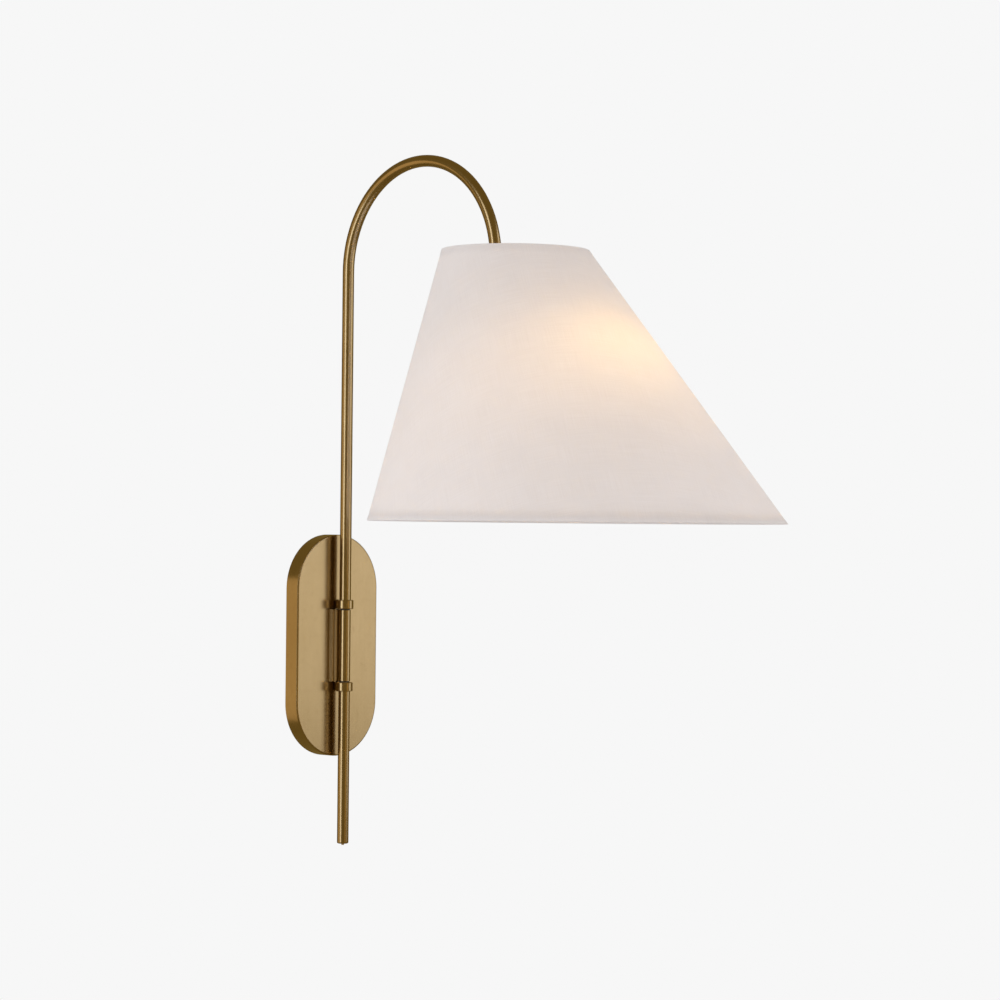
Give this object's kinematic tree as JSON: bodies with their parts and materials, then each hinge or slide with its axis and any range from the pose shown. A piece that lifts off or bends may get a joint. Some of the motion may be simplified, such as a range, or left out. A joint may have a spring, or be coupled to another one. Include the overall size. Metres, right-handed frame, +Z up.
{
  "type": "swing arm wall sconce",
  "caption": "Wall sconce with an oval backplate, a tubular crook arm that swings on a short post, and a slanted conical linen shade over one tilted lamp holder.",
  "frame": {"origin": "on the wall, at the centre of the backplate's open back", "axes": "+Y into the wall, +Z up, +X right for someone facing the wall; the arm points out along -Y at rest"},
  "size_m": [0.406, 0.5605, 0.7105],
  "materials": {
    "antique_brass": "satin",
    "zinc_steel": "zinc plated",
    "green_screw": "green passivated",
    "nylon": "natural nylon",
    "black_acetal": "machined",
    "lead_jacket": "smooth jacket",
    "wire_jacket": "smooth jacket",
    "connector_plastic": "moulded",
    "white_wire": "white enamel",
    "styrene": "matt translucent",
    "linen": "plain weave linen",
    "phenolic": "moulded",
    "bare_aluminium": "rolled thread",
    "contact_brass": "bare",
    "stem_glass": "clear",
    "frosted_glass": "inside frosted"
  },
  "bodies": {
    "wall_mount": {"mounting_bracket": "zinc_steel", "backplate": "antique_brass", "backplate_screws": "antique_brass", "ground_screw": "green_screw", "wire_grommet": "nylon", "standoff_block": "antique_brass", "block_screws": "zinc_steel", "pivot_barrel": "antique_brass", "upper_bush": "black_acetal", "lower_bush": "black_acetal", "supply_lead": "lead_jacket", "fixture_wires": "wire_jacket", "wire_connectors": "connector_plastic"},
    "arm": {"arm_tube": "antique_brass", "upper_collar": "antique_brass", "lower_collar": "antique_brass", "pivot_spindle": "zinc_steel", "upper_insert": "zinc_steel", "lower_insert": "zinc_steel", "tail_tube": "antique_brass", "tail_cap": "antique_brass", "lamp_lead": "lead_jacket", "end_nipple": "zinc_steel", "top_ring": "white_wire", "spider": "white_wire", "shade_nut": "antique_brass", "bottom_ring": "white_wire", "shade_liner": "styrene", "shade_fabric": "linen", "socket_elbow": "antique_brass", "socket_nipple": "zinc_steel", "socket_cap": "antique_brass", "socket_insulator": "phenolic", "socket_shell": "antique_brass", "screw_shell": "bare_aluminium", "centre_contact": "contact_brass", "bulb_cap": "bare_aluminium", "bulb_stem": "stem_glass", "bulb_glass": "frosted_glass"}
  },
  "joints": [
    {"name": "arm_swing", "type": "hinge", "parent": "wall_mount", "child": "arm", "pos_m": [0, -0.029, 0], "axis": [0, 0, 1], "range_deg": [-55, 55]}
  ]
}
